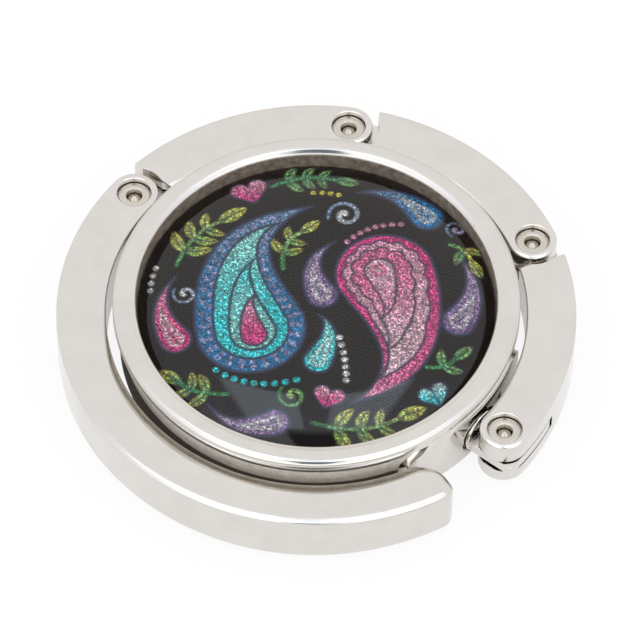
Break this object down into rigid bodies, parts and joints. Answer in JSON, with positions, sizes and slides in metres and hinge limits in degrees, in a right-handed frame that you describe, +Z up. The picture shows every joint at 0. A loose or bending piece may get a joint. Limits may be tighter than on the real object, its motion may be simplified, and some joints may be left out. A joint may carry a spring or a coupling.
{
  "type": "purse hook",
  "caption": "Folding purse hook: a round base with a glitter print under a clear dome, ringed by a riveted chain of links that opens into a bag hook on a swivel.",
  "frame": {"origin": "on the disc's axis at the underside of the friction pad", "axes": "+Z up out of the print, +X along the swivel axis through the boss and the first rivet; the folded chain runs anticlockwise from +X as seen from above"},
  "size_m": [0.0448, 0.0448, 0.0071],
  "materials": {
    "plated_casting": "polished nickel plating on a zinc casting",
    "plated_rivet": "nickel-plated rivet steel",
    "glitter_print": "black printed film with coloured glitter motifs",
    "clear_resin": "clear glossy epoxy",
    "black_rubber": "matt black rubber",
    "adhesive_tape": "off-white double-sided tape"
  },
  "bodies": {
    "base": {"base_body": "plated_casting", "print_disc": "glitter_print", "resin_dome": "clear_resin", "friction_pad": "black_rubber", "pad_adhesive": "adhesive_tape", "swivel_collar": "plated_rivet", "swivel_washer": "plated_rivet"},
    "knuckle": {"swivel_knuckle": "plated_casting"},
    "first_link": {"link_1": "plated_casting", "rivet_sleeve_1": "plated_rivet", "rivet_pin_1": "plated_rivet"},
    "second_link": {"link_2": "plated_casting", "rivet_sleeve_2": "plated_rivet", "rivet_pin_2": "plated_rivet"},
    "third_link": {"link_3": "plated_casting", "rivet_sleeve_3": "plated_rivet", "rivet_pin_3": "plated_rivet"},
    "bag_hook": {"hook": "plated_casting", "rivet_sleeve_4": "plated_rivet", "rivet_pin_4": "plated_rivet"}
  },
  "joints": [
    {"name": "swivel", "type": "hinge", "parent": "base", "child": "knuckle", "pos_m": [0.0175, 0, 0.00275], "axis": [1, 0, 0], "continuous": true},
    {"name": "knuckle_hinge", "type": "hinge", "parent": "knuckle", "child": "first_link", "pos_m": [0.02023, 0, 0.00275], "axis": [0, 0, -1], "range_deg": [0, 25]},
    {"name": "link_hinge_1", "type": "hinge", "parent": "first_link", "child": "second_link", "pos_m": [0.01011, 0.01752, 0.00275], "axis": [0, 0, -1], "range_deg": [0, 25]},
    {"name": "link_hinge_2", "type": "hinge", "parent": "second_link", "child": "third_link", "pos_m": [-0.01011, 0.01752, 0.00275], "axis": [0, 0, -1], "range_deg": [0, 75]},
    {"name": "hook_hinge", "type": "hinge", "parent": "third_link", "child": "bag_hook", "pos_m": [-0.02023, 0, 0.00275], "axis": [0, 0, -1], "range_deg": [0, 100]}
  ],
  "couplings": [
    {"joint": "link_hinge_1", "follows": "knuckle_hinge", "ratio": 1},
    {"joint": "link_hinge_2", "follows": "knuckle_hinge", "ratio": 3},
    {"joint": "hook_hinge", "follows": "knuckle_hinge", "ratio": 4}
  ]
}
